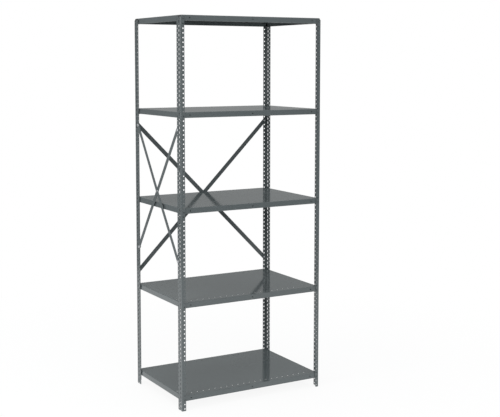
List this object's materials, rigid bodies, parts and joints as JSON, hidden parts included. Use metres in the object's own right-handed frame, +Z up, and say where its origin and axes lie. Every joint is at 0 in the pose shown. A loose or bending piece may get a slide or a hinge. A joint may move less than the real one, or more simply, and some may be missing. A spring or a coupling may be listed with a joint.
{
  "type": "boltless steel shelving unit",
  "caption": "Free-standing open steel shelving: perforated angle posts, box-edged shelves held by compression clips, and crossed sway braces at the back and one end.",
  "frame": {"origin": "on the floor, at the middle of the whole footprint, braces and bolt heads included", "axes": "+Z up, -Y towards the open front, +X towards the unbraced end"},
  "size_m": [0.9262, 0.6232, 2.22],
  "materials": {
    "post_enamel": "gloss",
    "shelf_enamel": "gloss",
    "brace_enamel": "gloss",
    "clip_zinc": "satin",
    "fastener_zinc": "satin"
  },
  "bodies": {
    "root": {"front_left_post": "post_enamel", "front_right_post": "post_enamel", "back_right_post": "post_enamel", "back_left_post": "post_enamel", "bottom_shelf": "shelf_enamel", "lower_shelf": "shelf_enamel", "middle_shelf": "shelf_enamel", "upper_shelf": "shelf_enamel", "top_shelf": "shelf_enamel", "bottom_clip_front_left": "clip_zinc", "bottom_clip_front_right": "clip_zinc", "bottom_clip_back_right": "clip_zinc", "bottom_clip_back_left": "clip_zinc", "lower_clip_front_left": "clip_zinc", "lower_clip_front_right": "clip_zinc", "lower_clip_back_right": "clip_zinc", "lower_clip_back_left": "clip_zinc", "middle_clip_front_left": "clip_zinc", "middle_clip_front_right": "clip_zinc", "middle_clip_back_right": "clip_zinc", "middle_clip_back_left": "clip_zinc", "upper_clip_front_left": "clip_zinc", "upper_clip_front_right": "clip_zinc", "upper_clip_back_right": "clip_zinc", "upper_clip_back_left": "clip_zinc", "top_clip_front_left": "clip_zinc", "top_clip_front_right": "clip_zinc", "top_clip_back_right": "clip_zinc", "top_clip_back_left": "clip_zinc", "back_brace_rising": "brace_enamel", "back_brace_falling": "brace_enamel", "back_brace_rivet": "fastener_zinc", "back_brace_bolts": "fastener_zinc", "back_brace_nuts": "fastener_zinc", "side_brace_rising": "brace_enamel", "side_brace_falling": "brace_enamel", "side_brace_rivet": "fastener_zinc", "side_brace_bolts": "fastener_zinc", "side_brace_nuts": "fastener_zinc"}
  },
  "joints": []
}
